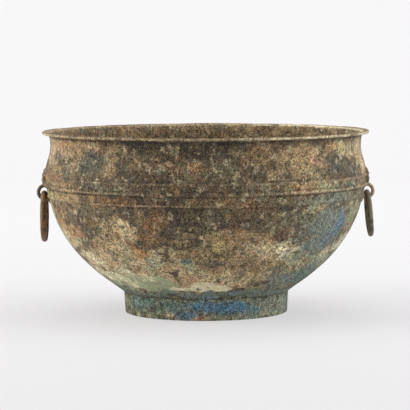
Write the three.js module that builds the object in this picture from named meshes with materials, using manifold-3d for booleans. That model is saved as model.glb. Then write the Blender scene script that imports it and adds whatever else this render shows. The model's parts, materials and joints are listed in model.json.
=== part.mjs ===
// Bronze zeng steamer: a footed bowl with a pierced floor and two captive ring handles.
// Millimetres, +Z up. The origin is the middle of the foot's standing ring.
import * as THREE from "three";
import { mergeVertices } from "three/addons/utils/BufferGeometryUtils.js";
import Module from "manifold-3d";

const wasm = await Module();
wasm.setup();

// Whole bowl
const overallHeight = 161.5;
const rimRadius = 145;
const wallThickness = 2.4;
const roundSides = 60;

// Flared lip: a thin flange that turns out from the top of the neck
const lipThickness = 2.7;
const lipRise = 1.4;
const lipDepth = 5.6;
const lipEdgeShare = 0.3;
const mouthEdge = { out: 2, dropShare: 0.25 };
const underLip = { out: 1, riseShare: 0.3 };

// Neck: a hollow curve from the shoulder to the lip
const neckTopRadius = 138.75;
const neckWaistRadius = 137.6;
const neckPullLow = { in: 0.125, up: 0.36 };
const neckPullHigh = { in: 1.46, up: 0.48 };
const neckSteps = 5;

// Shoulder band: three raised ribs, each with the plain wall just below and above it
const ribHalfWidth = 1.7;
const ribCrestShare = 0.35;
const lowRib = { height: 103.9, crest: 140.9, below: 139.1, above: 140.4 };
const midRib = { height: 113.6, crest: 143.3, below: 141.3, above: 142.5 };
const topRib = { height: 122.6, crest: 143.2, below: 142.5, above: 142.4 };

// Belly: one curve from the foot to the lowest rib, with its two pulls as shares of its span
const bellyPullLow = { out: 0.06, up: 0.08 };
const bellyPullHigh = { out: 0.815, up: 0.335 };
const bellySteps = 10;

// Ring foot, hollow below the floor
const footHeight = 18;
const footStandingRadius = 72.2;
const footTopRadius = 73;
const footWall = 3;

// Pierced floor: four groups of straight slots, turned a quarter from one group to the next
const floorThickness = 3;
const slotWidth = 3;
const slotPitch = 9;
const slotMargin = 5;
const firstSlotShare = 0.7;
const pierced = { radius: 60, shortestSlot: 16 };

// Side lugs: a low animal-mask plate with a ring-shaped loop for the handle
const plateTop = 128.5;
const plateBottom = 97;
const plateHalfWidth = 17;
const plateThickness = 1.1;
const chinHeight = 110.6;
const tongueHalfWidth = 3.2;
const eyeRadius = 2.9;
const reliefHeight = 1.3;
const loopHeight = 106.8;
const loopStandoff = 2.35;
const loopRod = 3.2;
const loopDepth = 5.6;

// Ring handles, each a closed round ring: size over all, rod thickness and lean away from plumb
const leftRing = { outerDiameter: 46, rod: 5.2, leanDeg: 0 };
const rightRing = { outerDiameter: 42.5, rod: 4.9, leanDeg: 5 };
const ringSides = 36;
const rodSides = 8;

// Clearances of the rings in their loops
const loopPlay = 1.8;
const loopGap = 0.45;
const ringWallGap = 0.6;

// The loops are cast on with the bowl; they are parted from its wall by this much
const partingGap = 0.3;

const bronze = { color: 0x6a5b45, roughness: 0.82, metalness: 0.35 };
const ringBronze = { color: 0x4b3d30, roughness: 0.7, metalness: 0.45 };

const point = (radius, height) => new THREE.Vector2(radius, height);
const radians = THREE.MathUtils.degToRad;

// Solids and booleans

function solidFrom(geometry) {
  const bare = geometry.clone();
  bare.deleteAttribute("normal");
  bare.deleteAttribute("uv");
  const merged = mergeVertices(bare, 1e-4);
  const corners = merged.index.array;
  const triVerts = [];
  for (let i = 0; i < corners.length; i += 3) {
    const [a, b, c] = corners.slice(i, i + 3);
    if (a !== b && b !== c && c !== a) triVerts.push(a, b, c);
  }
  return new wasm.Manifold(new wasm.Mesh({
    numProp: 3,
    vertProperties: new Float32Array(merged.attributes.position.array),
    triVerts: new Uint32Array(triVerts),
  }));
}

function geometryFrom(solid) {
  const mesh = solid.getMesh();
  const geometry = new THREE.BufferGeometry();
  geometry.setAttribute("position", new THREE.BufferAttribute(mesh.vertProperties, 3));
  geometry.setIndex(new THREE.BufferAttribute(mesh.triVerts, 1));
  geometry.computeVertexNormals();
  return geometry;
}

// A profile that starts and ends on the axis, turned about Z
function turned(profile) {
  return solidFrom(new THREE.LatheGeometry(profile, roundSides).rotateX(Math.PI / 2));
}

// Bowl profile, outside

const footTop = point(footTopRadius, footHeight);
const bellyTop = point(lowRib.below, lowRib.height - ribHalfWidth);
const neckBase = point(topRib.above, topRib.height + ribHalfWidth);
const lipEdgeBottom = overallHeight - lipThickness;
const neckTop = point(neckTopRadius, lipEdgeBottom - lipRise);

function pulled(from, to, pull) {
  return point(from.x + (to.x - from.x) * pull.out, from.y + (to.y - from.y) * pull.up);
}

const bellyCurve = new THREE.CubicBezierCurve(
  footTop,
  pulled(footTop, bellyTop, bellyPullLow),
  pulled(footTop, bellyTop, bellyPullHigh),
  bellyTop,
);

// The neck leaves the shoulder almost upright, then draws in to its waist
const neckRise = neckTop.y - neckBase.y;
const neckDraw = neckBase.x - neckWaistRadius;
const neckCurve = new THREE.CubicBezierCurve(
  neckBase,
  point(neckBase.x - neckPullLow.in * neckDraw, neckBase.y + neckPullLow.up * neckRise),
  point(neckBase.x - neckPullHigh.in * neckDraw, neckBase.y + neckPullHigh.up * neckRise),
  neckTop,
);

function ribPoints({ height, crest, below, above }) {
  const crestHalf = ribHalfWidth * ribCrestShare;
  return [
    point(below, height - ribHalfWidth),
    point(crest, height - crestHalf),
    point(crest, height + crestHalf),
    point(above, height + ribHalfWidth),
  ];
}

const outside = [
  point(footStandingRadius, 0),
  ...bellyCurve.getPoints(bellySteps).slice(0, -1),
  ...ribPoints(lowRib),
  ...ribPoints(midRib),
  ...ribPoints(topRib),
  ...neckCurve.getPoints(neckSteps).slice(1),
];

// Outer radius of the wall at a height, read off the profile
function wallRadiusAt(height) {
  const upper = outside.findIndex((p) => p.y > height);
  const a = outside[upper - 1];
  const b = outside[upper];
  return a.x + (b.x - a.x) * (height - a.y) / (b.y - a.y);
}

// Lip, from the top of the neck round the edge and in to the mouth
const mouthRadius = neckTopRadius - wallThickness;
const lipEdgeHalf = lipThickness / 2;
const lip = [
  point(neckTopRadius + underLip.out, neckTop.y + underLip.riseShare * lipRise),
  point(rimRadius - lipEdgeShare * lipThickness, lipEdgeBottom),
  point(rimRadius, lipEdgeBottom + lipEdgeHalf),
  point(rimRadius - lipEdgeShare * lipThickness, overallHeight),
  point(mouthRadius + mouthEdge.out, overallHeight - mouthEdge.dropShare * lipThickness),
  point(mouthRadius, overallHeight - lipDepth),
];

// Inside, one wall thickness in from the outside, from the mouth down to the floor

const floorTop = footHeight + floorThickness;

function offsetInward(curve, share) {
  const at = curve.getPoint(share);
  const along = curve.getTangent(share);
  return point(at.x - along.y * wallThickness, at.y + along.x * wallThickness);
}

const insideNeck = [0.75, 0.5, 0.25, 0].map((share) => offsetInward(neckCurve, share));
const insideBand = [
  point(midRib.above - wallThickness, midRib.height + ribHalfWidth),
  point(lowRib.above - wallThickness, lowRib.height + ribHalfWidth),
];
const insideBelly = [];
for (let step = bellySteps - 1; step >= 0; step -= 1) {
  insideBelly.push(offsetInward(bellyCurve, step / bellySteps));
}
const inside = [...insideNeck, ...insideBand, ...insideBelly.filter((p) => p.y > floorTop + 1)];
const innerFloorRadius = insideBelly.at(-1).x;

const underFloor = footHeight;
const footInnerRadius = footStandingRadius - footWall;

const bowlProfile = [
  point(0, underFloor),
  point(footTopRadius - footWall, underFloor),
  point(footInnerRadius, 0),
  ...outside,
  ...lip,
  ...inside,
  point(innerFloorRadius, floorTop),
  point(0, floorTop),
];

// Pierced floor

// Slots of one quarter run outwards from its inner edge and stop at the pierced circle
function quarterOfSlots() {
  const slots = [];
  for (let offset = slotPitch * firstSlotShare; offset < pierced.radius; offset += slotPitch) {
    const reach = Math.sqrt(pierced.radius ** 2 - offset ** 2);
    const length = reach - slotMargin;
    if (length < pierced.shortestSlot) break;
    const slot = new THREE.BoxGeometry(length, slotWidth, floorThickness * 3);
    slots.push(slot.translate(slotMargin + length / 2, offset, floorTop - floorThickness / 2));
  }
  return slots;
}

function pierceFloor(solid) {
  let cut = solid;
  for (let quarter = 0; quarter < 4; quarter += 1) {
    for (const slot of quarterOfSlots()) {
      cut = cut.subtract(solidFrom(slot.rotateZ(quarter * Math.PI / 2)));
    }
  }
  return cut;
}

// Side lugs, shaped on the +X side and turned half round for the other

const loopHole = Math.max(leftRing.rod, rightRing.rod) / 2 + loopPlay;
const loopCentre = wallRadiusAt(loopHeight) + loopStandoff;

// Mask outline seen from outside: horned brow, cheeks drawn in to the chin, tongue under the loop
function maskOutline() {
  const brow = [
    point(0, plateTop),
    point(0.22 * plateHalfWidth, plateTop - 2.4),
    point(0.5 * plateHalfWidth, plateTop - 1.2),
    point(0.86 * plateHalfWidth, plateTop - 0.2),
    point(plateHalfWidth, plateTop - 3.2),
  ];
  const cheek = [
    point(0.96 * plateHalfWidth, plateTop - 8),
    point(0.8 * plateHalfWidth, chinHeight + 5),
    point(0.52 * plateHalfWidth, chinHeight + 1),
    point(tongueHalfWidth + 1, chinHeight),
  ];
  const tongue = [
    point(tongueHalfWidth, loopHeight),
    point(0.7 * tongueHalfWidth, plateBottom),
  ];
  const half = [...brow, ...cheek, ...tongue];
  const mirrored = half.slice(1).reverse().map((p) => point(-p.x, p.y));
  return new THREE.Shape([...half, ...mirrored]);
}

// Everything within a surface that follows the wall's curve and stands off it
function withinFace(standoff) {
  const face = new THREE.SplineCurve([
    point(wallRadiusAt(plateBottom) + standoff, plateBottom - 1),
    point(midRib.crest + standoff, midRib.height + 2),
    point(wallRadiusAt(plateTop) + standoff, plateTop + 1),
  ]);
  return turned([point(0, plateBottom - 1), ...face.getPoints(8), point(0, plateTop + 1)]);
}

function maskPlate() {
  const depth = 4 * wallThickness + plateHalfWidth;
  const slab = new THREE.ExtrudeGeometry(maskOutline(), { depth, bevelEnabled: false, steps: 1 });
  slab.rotateX(Math.PI / 2).rotateZ(Math.PI / 2).translate(midRib.crest - depth / 2, 0, 0);
  return solidFrom(slab).intersect(withinFace(plateThickness));
}

// A dome or ridge on the plate, given by its place and its half sizes across and up
function boss(across, height, halfAcross, halfUp, tiltDeg = 0) {
  const plateFace = wallRadiusAt(height) + plateThickness;
  const sag = plateFace - Math.sqrt(plateFace ** 2 - across ** 2);
  const dome = new THREE.SphereGeometry(1, 8, 6);
  dome.scale(reliefHeight + plateThickness, halfAcross, halfUp).rotateX(radians(tiltDeg));
  return solidFrom(dome.translate(plateFace - sag - plateThickness, across, height));
}

function maskRelief() {
  const browHeight = plateTop - 4.5;
  const eyeHeight = plateTop - 10;
  const eyeAcross = 0.46 * plateHalfWidth;
  const bosses = [boss(0, (plateTop + chinHeight) / 2, 2.2, 8)];
  for (const side of [-1, 1]) {
    bosses.push(boss(side * eyeAcross, eyeHeight, eyeRadius, eyeRadius));
    bosses.push(boss(side * eyeAcross, browHeight, 0.4 * plateHalfWidth, 1.7, side * 8));
  }
  return bosses;
}

// The mask is cut for the ring and kept out of the bowl before it joins the wall
function mask() {
  const hole = new THREE.CylinderGeometry(loopHole, loopHole, 2 * (tongueHalfWidth + 2), 20);
  const ringPath = solidFrom(hole.translate(loopCentre, 0, loopHeight));
  let plate = maskPlate();
  for (const relief of maskRelief()) plate = plate.add(relief);
  const insideWall = turned([
    point(0, footHeight),
    ...outside.slice(1).map((p) => point(p.x - wallThickness / 2, p.y)),
    point(0, neckTop.y),
  ]);
  return plate.subtract(ringPath).subtract(insideWall);
}

// A round loop whose two ends stop just short of the plate
function loop() {
  const centreRadius = loopHole + loopRod / 2;
  const ring = new THREE.TorusGeometry(centreRadius, loopRod / 2, 8, 20);
  ring.rotateX(Math.PI / 2).scale(1, loopDepth / loopRod, 1);
  const whole = solidFrom(ring.translate(loopCentre, 0, loopHeight));
  return whole.subtract(withinFace(plateThickness + partingGap));
}

// Pieces

function piece(name, geometry, finish) {
  const mesh = new THREE.Mesh(geometry, new THREE.MeshStandardMaterial(finish));
  mesh.name = name;
  return mesh;
}

function bowl() {
  const face = mask();
  const solid = pierceFloor(turned(bowlProfile)).add(face).add(face.rotate([0, 0, 180]));
  return piece("steamer_bowl", geometryFrom(solid), bronze);
}

function handleLoop(name, turnDeg) {
  const mesh = piece(name, geometryFrom(loop()), bronze);
  mesh.rotation.z = radians(turnDeg);
  return mesh;
}

// The rod's middle where it passes through the loop: off the wall and just above the hole's bottom
function ringPivot(rod) {
  const x = wallRadiusAt(loopHeight) + ringWallGap + rod / 2;
  const freeRadius = loopHole - rod / 2 - loopGap;
  const sideStep = Math.min(Math.abs(x - loopCentre), freeRadius);
  return { x, z: loopHeight - Math.sqrt(freeRadius ** 2 - sideStep ** 2) };
}

// A ring hangs from its pivot; side is -1 for the left ring and 1 for the right one
function ringHandle(name, size, side) {
  const { x, z } = ringPivot(size.rod);
  const centreRadius = (size.outerDiameter - size.rod) / 2;
  const torus = new THREE.TorusGeometry(centreRadius, size.rod / 2, rodSides, ringSides);
  const mesh = piece(name, geometryFrom(solidFrom(torus.rotateY(Math.PI / 2))), ringBronze);
  mesh.position.z = -centreRadius;
  const hinge = new THREE.Group();
  hinge.position.set(side * x, 0, z);
  hinge.rotation.y = -side * radians(size.leanDeg);
  hinge.add(mesh);
  return hinge;
}

const steamer = new THREE.Group();
steamer.add(bowl());
steamer.add(handleLoop("handle_loop_left", 180));
steamer.add(handleLoop("handle_loop_right", 0));
steamer.add(ringHandle("ring_handle_left", leftRing, -1));
steamer.add(ringHandle("ring_handle_right", rightRing, 1));

export default steamer;
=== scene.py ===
import json
import math
import random

import bmesh
import bpy
import numpy as np
from mathutils import Matrix, Vector, noise


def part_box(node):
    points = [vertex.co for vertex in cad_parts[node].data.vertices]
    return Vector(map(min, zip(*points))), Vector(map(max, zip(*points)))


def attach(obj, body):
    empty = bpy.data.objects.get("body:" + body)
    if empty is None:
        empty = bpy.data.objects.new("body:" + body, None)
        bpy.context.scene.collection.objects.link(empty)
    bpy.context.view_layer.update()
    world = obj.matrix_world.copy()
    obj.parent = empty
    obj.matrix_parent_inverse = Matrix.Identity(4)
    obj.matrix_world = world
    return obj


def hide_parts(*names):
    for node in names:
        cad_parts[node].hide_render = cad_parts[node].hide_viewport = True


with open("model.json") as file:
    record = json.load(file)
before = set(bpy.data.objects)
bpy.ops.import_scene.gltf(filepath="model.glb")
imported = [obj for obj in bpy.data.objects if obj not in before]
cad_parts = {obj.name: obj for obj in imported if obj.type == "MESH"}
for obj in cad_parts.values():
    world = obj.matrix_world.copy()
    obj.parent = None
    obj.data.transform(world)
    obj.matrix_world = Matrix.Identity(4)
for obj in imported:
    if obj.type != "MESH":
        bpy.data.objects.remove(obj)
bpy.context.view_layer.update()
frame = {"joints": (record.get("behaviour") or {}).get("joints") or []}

# Bronze zeng steamer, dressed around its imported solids. Modelling sizes are in millimetres.
MM = 0.001

# Bowl sizes, the same as the solid's
OVERALL_HEIGHT = (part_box("steamer_bowl")[1][2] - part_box("steamer_bowl")[0][2]) / MM
RIM_RADIUS = (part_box("steamer_bowl")[1][1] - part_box("steamer_bowl")[0][1]) / MM / 2
WALL = 2.4
LIP_THICKNESS = 2.7
LIP_RISE = 1.4
NECK_TOP_RADIUS = 138.75
NECK_WAIST_RADIUS = 137.6
RIB_HALF_WIDTH = 1.7
LOW_RIB = {"height": 103.9, "crest": 140.9, "below": 139.1, "above": 140.4}
MID_RIB = {"height": 113.6, "crest": 143.3, "below": 141.3, "above": 142.5}
TOP_RIB = {"height": 122.6, "crest": 143.2, "below": 142.5, "above": 142.4}
FOOT_HEIGHT = 18.0
FOOT_STANDING_RADIUS = 72.2
FOOT_TOP_RADIUS = 73.0
FOOT_WALL = 3.0
FLOOR_THICKNESS = 3.0
SLOT_WIDTH = 3.0
SLOT_PITCH = 9.0
FIRST_SLOT = SLOT_PITCH * 0.7
SLOT_MARGIN = 5.0
PIERCED_RADIUS = 60.0
SHORTEST_SLOT = 16.0

# Side lugs, the same as the solid's
PLATE_TOP = 128.5
PLATE_HALF_WIDTH = 17.0
PLATE_THICKNESS = 1.1
CHIN_HEIGHT = 110.6
TONGUE_HALF_WIDTH = 3.2
PLATE_BOTTOM = 97.0
RELIEF_HEIGHT = 1.3
LOOP_HEIGHT = 106.8
LOOP_STANDOFF = 2.35
LOOP_ROD = 3.2
LOOP_DEPTH = 5.6
LOOP_HOLE = 4.4

# Mesh fineness: steps along the profile, then columns round the bowl, the core that trims the
# loops, the rings, the rods and the loops
BELLY_STEPS = 62
NECK_STEPS = 20
RIB_STEPS = 6
INNER_BELLY_STEPS = 44
INNER_NECK_STEPS = 14
COLUMNS = 376
CORE_COLUMNS = 180
RING_COLUMNS = 128
ROD_COLUMNS = 24
LOOP_COLUMNS = 64
PLATE_SPACING = 0.55
SLIVER = 0.004
SHARP_ANGLE_DEG = 50

# Corroded skin: its noise, how it thins out near the foot's edge, the loops and the floor, and
# how high the lip's own waves and nicks reach
CRUST_SEED = 2.0
FOOT_EDGE_ZONE = 3.0
LOOP_CLEARANCE = 4.0
LOOP_FADE = 10.0
LEAST_BY_LOOP = 0.15
FLOOR_CRUST = 0.35
PLATE_CRUST = 0.55
LIP_ZONE = 4.5


# Noise on the surface, in millimetres

def wobble(x, y, z, scale, seed):
    """Smooth noise from about -1 to 1 with features of the given size."""
    return noise.noise(Vector((x / scale + seed, y / scale - seed, z / scale + 0.5 * seed)))


def crust(x, y, z, seed):
    """How far the corroded skin stands off the cast surface."""
    dents = 0.34 * wobble(x, y, z, 42.0, seed) + 0.2 * wobble(x, y, z, 17.0, seed + 3)
    grain = 0.13 * wobble(x, y, z, 7.5, seed + 7) + 0.1 * wobble(x, y, z, 3.6, seed + 11)
    return dents + grain


# Bowl profile

def bezier(p0, p1, p2, p3, steps):
    """Points of a cubic curve, both ends included."""
    points = []
    for i in range(steps + 1):
        t = i / steps
        s = 1 - t
        weights = (s ** 3, 3 * s * s * t, 3 * s * t * t, t ** 3)
        points.append(tuple(sum(w * p[k] for w, p in zip(weights, (p0, p1, p2, p3))) for k in (0, 1)))
    return points


def pulled(start, end, out, up):
    return (start[0] + (end[0] - start[0]) * out, start[1] + (end[1] - start[1]) * up)


def belly_curve(steps):
    start = (FOOT_TOP_RADIUS, FOOT_HEIGHT)
    end = (LOW_RIB["below"], LOW_RIB["height"] - RIB_HALF_WIDTH)
    return bezier(start, pulled(start, end, 0.06, 0.08), pulled(start, end, 0.815, 0.335), end, steps)


def neck_curve(steps):
    base = (TOP_RIB["above"], TOP_RIB["height"] + RIB_HALF_WIDTH)
    top = (NECK_TOP_RADIUS, OVERALL_HEIGHT - LIP_THICKNESS - LIP_RISE)
    rise = top[1] - base[1]
    draw = base[0] - NECK_WAIST_RADIUS
    low = (base[0] - 0.125 * draw, base[1] + 0.36 * rise)
    high = (NECK_WAIST_RADIUS - 0.46 * draw, base[1] + 0.48 * rise)
    return bezier(base, low, high, top, steps)


def rib_points(rib):
    """A soft rib: a hollow below it, a rounded crest, and the wall above."""
    bottom = rib["height"] - RIB_HALF_WIDTH
    points = []
    for step in range(RIB_STEPS + 1):
        t = step / RIB_STEPS
        wall = rib["below"] + (rib["above"] - rib["below"]) * t
        rise = math.sin(math.pi * t) ** 1.5
        crest = rib["crest"] - (rib["below"] + rib["above"]) / 2
        points.append((wall + crest * rise, bottom + 2 * RIB_HALF_WIDTH * t))
    return points


def between(a, b, step):
    """Points on the straight line from a to b, without its ends, about one step apart."""
    count = max(1, round(math.dist(a, b) / step))
    return [(a[0] + (b[0] - a[0]) * i / count, a[1] + (b[1] - a[1]) * i / count) for i in range(1, count)]


def offset_inward(points):
    """The same curve, one wall thickness further in."""
    moved = []
    for i, (r, z) in enumerate(points):
        before = points[max(i - 1, 0)]
        after = points[min(i + 1, len(points) - 1)]
        length = math.dist(before, after)
        dr = (after[0] - before[0]) / length
        dz = (after[1] - before[1]) / length
        moved.append((r - dz * WALL, z + dr * WALL))
    return moved


def outside_profile():
    """Outer side from the standing edge of the foot to the top of the neck."""
    edge = 0.7
    foot = [(FOOT_STANDING_RADIUS - edge, 0.0), (FOOT_STANDING_RADIUS - 0.15, 0.25)]
    foot.append((FOOT_STANDING_RADIUS, edge))
    foot += between(foot[-1], (FOOT_TOP_RADIUS, FOOT_HEIGHT), 1.6)
    belly = belly_curve(BELLY_STEPS)
    band = rib_points(LOW_RIB)
    band += between(band[-1], rib_points(MID_RIB)[0], 1.4)
    band += rib_points(MID_RIB)
    band += between(band[-1], rib_points(TOP_RIB)[0], 1.4)
    band += rib_points(TOP_RIB)
    return foot + belly[:-1] + band + neck_curve(NECK_STEPS)[1:]


def lip_profile():
    """From the top of the neck round the lip's edge and down into the mouth."""
    bottom = OVERALL_HEIGHT - LIP_THICKNESS
    neck_top = bottom - LIP_RISE
    mouth = NECK_TOP_RADIUS - WALL
    under = [(NECK_TOP_RADIUS + 0.35, neck_top + 0.45), (NECK_TOP_RADIUS + 1.3, neck_top + 0.85)]
    under.append((NECK_TOP_RADIUS + 3.2, neck_top + 1.1))
    under.append((RIM_RADIUS - 1.1, bottom + 0.05))
    edge = [(RIM_RADIUS - 0.35, bottom + 0.4), (RIM_RADIUS, bottom + 1.2), (RIM_RADIUS - 0.1, bottom + 2.0)]
    edge.append((RIM_RADIUS - 0.8, OVERALL_HEIGHT - 0.12))
    top = [(RIM_RADIUS - 2.2, OVERALL_HEIGHT), (RIM_RADIUS - 4.4, OVERALL_HEIGHT - 0.3)]
    top += [(mouth + 2.1, OVERALL_HEIGHT - 1.2), (mouth + 0.8, OVERALL_HEIGHT - 2.8)]
    top.append((mouth, OVERALL_HEIGHT - 5.2))
    return under + edge + top


def inside_profile():
    """From the mouth down the inner wall to the middle of the floor."""
    neck = offset_inward(neck_curve(INNER_NECK_STEPS))[::-1][1:]
    shoulder = (MID_RIB["above"] - WALL, MID_RIB["height"] + RIB_HALF_WIDTH)
    low = (LOW_RIB["above"] - WALL, LOW_RIB["height"] + RIB_HALF_WIDTH)
    band = between(neck[-1], shoulder, 2.4) + [shoulder] + between(shoulder, low, 2.4) + [low]
    floor_top = FOOT_HEIGHT + FLOOR_THICKNESS
    belly = offset_inward(belly_curve(INNER_BELLY_STEPS))[::-1]
    belly = [p for p in belly if p[1] > floor_top + 0.9]
    corner = (belly[-1][0] - 1.5, floor_top)
    floor = between(corner, (0.0, floor_top), 5.0)
    return neck + band + belly + [corner] + floor


def underside_profile():
    """From the middle of the floor's underside out to the foot and down its inner side."""
    ceiling = (FOOT_TOP_RADIUS - FOOT_WALL, FOOT_HEIGHT)
    inner_edge = (FOOT_STANDING_RADIUS - FOOT_WALL + 0.5, 0.0)
    flat = between(ceiling, (0.0, FOOT_HEIGHT), 6.0)[::-1]
    side = between(ceiling, inner_edge, 2.4)
    return flat + [ceiling] + side + [(inner_edge[0] - 0.45, 0.4), inner_edge]


# Bowl mesh

def lathe(profile, columns, low_pole, high_pole):
    """A closed mesh turned about Z, with one point on the axis at each end."""
    angles = np.arange(columns) * 2 * math.pi / columns
    rings = [(r * np.sin(angles), -r * np.cos(angles), np.full(columns, z)) for r, z in profile]
    verts = np.concatenate([np.stack(ring, axis=1) for ring in rings])
    verts = np.vstack([verts, [[0, 0, low_pole], [0, 0, high_pole]]])
    faces = []
    for row in range(len(profile) - 1):
        a = row * columns
        b = a + columns
        for c in range(columns):
            d = (c + 1) % columns
            faces.append((a + c, a + d, b + d, b + c))
    low = len(verts) - 2
    high = len(verts) - 1
    last = (len(profile) - 1) * columns
    for c in range(columns):
        d = (c + 1) % columns
        faces.append((low, d, c))
        faces.append((high, last + c, last + d))
    return verts, faces


def linked(name, data):
    """A new object in the scene."""
    obj = bpy.data.objects.new(name, data)
    bpy.context.scene.collection.objects.link(obj)
    return obj


def mesh_object(name, verts, faces):
    """An object from points in millimetres."""
    mesh = bpy.data.meshes.new(name)
    mesh.from_pydata([tuple(v * MM for v in p) for p in verts], [], faces)
    mesh.validate()
    return linked(name, mesh)


def tool_object(name, bm):
    """An object from a bmesh in metres, which is used up."""
    mesh = bpy.data.meshes.new(name)
    bm.to_mesh(mesh)
    bm.free()
    return linked(name, mesh)


def weathered(verts):
    """Moves each point along its own radius by the crust, and waves and nicks the lip."""
    moved = []
    for x, y, z in verts:
        radius = math.hypot(x, y)
        if radius < 1e-6:
            moved.append((x, y, z))
            continue
        standing = min(1.0, max(0.0, z / FOOT_EDGE_ZONE))
        floor_zone = radius < FOOT_STANDING_RADIUS - 2 and z > FOOT_HEIGHT / 2
        from_loop = math.hypot(y, z - LOOP_HEIGHT)
        clear = min(1.0, max(LEAST_BY_LOOP, (from_loop - LOOP_CLEARANCE) / LOOP_FADE))
        push = crust(x, y, z, CRUST_SEED) * standing * clear * (FLOOR_CRUST if floor_zone else 1.0)
        lip = max(0.0, (z - (OVERALL_HEIGHT - LIP_ZONE)) / LIP_ZONE)
        wave = lip * 0.4 * wobble(x, y, 0, 38.0, 5.0) + lip * 0.16 * wobble(x, y, 0, 9.0, 8.0)
        nick = lip * max(0.0, wobble(x, y, 0, 6.5, 21.0) - 0.42) * 2.2
        if floor_zone:
            moved.append((x, y, z + push))
            continue
        scale = (radius + push - nick) / radius
        moved.append((x * scale, y * scale, z + wave - 0.35 * lip - 0.5 * nick))
    return moved


def slot_cutters():
    """The floor's slots: four groups, each a quarter turn from the last."""
    middle = FOOT_HEIGHT + FLOOR_THICKNESS / 2
    cutter = bmesh.new()
    for quarter in range(4):
        turn = Matrix.Rotation(quarter * math.pi / 2, 4, "Z")
        across = FIRST_SLOT
        while across < PIERCED_RADIUS:
            length = math.sqrt(PIERCED_RADIUS ** 2 - across ** 2) - SLOT_MARGIN
            if length < SHORTEST_SLOT:
                break
            place = turn @ Matrix.Translation((SLOT_MARGIN + length / 2, across, middle))
            size = Matrix.Diagonal((length, SLOT_WIDTH, FLOOR_THICKNESS * 3, 1))
            bmesh.ops.create_cube(cutter, size=1, matrix=Matrix.Scale(MM, 4) @ place @ size)
            across += SLOT_PITCH
    return tool_object("slots", cutter)


def apply_boolean(target, tool, operation):
    """Joins or cuts target with tool, then removes tool."""
    modifier = target.modifiers.new("boolean", "BOOLEAN")
    modifier.operation = operation
    modifier.solver = "MANIFOLD"
    modifier.object = tool
    depsgraph = bpy.context.evaluated_depsgraph_get()
    result = bpy.data.meshes.new_from_object(target.evaluated_get(depsgraph))
    target.modifiers.clear()
    old = target.data
    target.data = result
    bpy.data.meshes.remove(old)
    bpy.data.objects.remove(tool)


# Side lugs

def wall_radius(height):
    """Outer radius of the smooth wall at a height."""
    profile = outside_profile()
    for (r0, z0), (r1, z1) in zip(profile, profile[1:]):
        if z0 <= height <= z1 and z1 > z0:
            return r0 + (r1 - r0) * (height - z0) / (z1 - z0)
    return profile[-1][0]


def mask_outline():
    """Half of the mask's outline, from the top middle round to the tip of the tongue."""
    w = PLATE_HALF_WIDTH
    top = [(0, PLATE_TOP), (0.22 * w, PLATE_TOP - 2.4), (0.5 * w, PLATE_TOP - 1.2)]
    top += [(0.86 * w, PLATE_TOP - 0.2), (w, PLATE_TOP - 3.2)]
    cheek = [(0.96 * w, PLATE_TOP - 8), (0.8 * w, CHIN_HEIGHT + 5), (0.52 * w, CHIN_HEIGHT + 1)]
    tongue = [(TONGUE_HALF_WIDTH + 1, CHIN_HEIGHT), (TONGUE_HALF_WIDTH, LOOP_HEIGHT)]
    return top + cheek + tongue + [(0.7 * TONGUE_HALF_WIDTH, PLATE_BOTTOM), (0, PLATE_BOTTOM)]


def segment_distance(px, pz, a, b):
    """Distance to the straight line from a to b."""
    dx = b[0] - a[0]
    dz = b[1] - a[1]
    t = np.clip(((px - a[0]) * dx + (pz - a[1]) * dz) / (dx * dx + dz * dz), 0, 1)
    return np.hypot(px - a[0] - t * dx, pz - a[1] - t * dz)


def signed_distance(px, pz, outline):
    """Distance to a closed outline, positive inside."""
    best = np.full(px.shape, np.inf)
    inside = np.zeros(px.shape, bool)
    for a, b in zip(outline, outline[1:] + outline[:1]):
        best = np.minimum(best, segment_distance(px, pz, a, b))
        if a[1] != b[1]:
            crosses = (a[1] > pz) != (b[1] > pz)
            inside ^= crosses & (px < a[0] + (b[0] - a[0]) * (pz - a[1]) / (b[1] - a[1]))
    return np.where(inside, best, -best)


def soft_ridge(distance, width):
    """A worn ridge: 1 on its line, 0 beyond its width."""
    return np.clip(1 - (distance / width) ** 2, 0, 1) ** 1.3


def mask_relief(across, height):
    """Height of the mask above the wall: a low plate with brows, eyes, snout and curled horns."""
    side = np.abs(across)
    w = PLATE_HALF_WIDTH
    outline = mask_outline()
    closed = outline + [(-x, z) for x, z in outline[::-1][1:-1]]
    edge = signed_distance(across, height, closed)
    plate = PLATE_THICKNESS * np.clip(0.5 + edge / 1.1, 0, 1)
    plate = np.where(edge < -0.6, -1.0, plate)
    eye = np.hypot((side - 0.46 * w) / 1.25, height - (PLATE_TOP - 10))
    brow = segment_distance(side, height, (2.5, PLATE_TOP - 6.6), (0.8 * w, PLATE_TOP - 4.4))
    horn = np.abs(np.hypot(side - 0.8 * w, height - (PLATE_TOP - 3.4)) - 1.9)
    cheek = segment_distance(side, height, (0.78 * w, PLATE_TOP - 9), (0.38 * w, CHIN_HEIGHT + 2.4))
    nose = np.hypot(side / 2.3, (height - (PLATE_TOP + CHIN_HEIGHT) / 2 + 1) / 8.2)
    crest = segment_distance(side, height, (0, PLATE_TOP - 1.5), (0, PLATE_TOP - 6))
    eye_ring = np.abs(eye - 3.1)
    ridges = ((RELIEF_HEIGHT, eye, 2.5), (0.55, eye_ring, 0.8), (1.05, brow, 1.5), (0.7, horn, 0.9))
    ridges += ((0.75, cheek, 1.2), (1.25, nose, 1.0), (0.6, crest, 1.1))
    relief = np.max([rise * soft_ridge(distance, width) for rise, distance, width in ridges], axis=0)
    return plate + np.where(edge > 0, relief * np.clip(edge / 1.2, 0, 1), 0)


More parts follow.
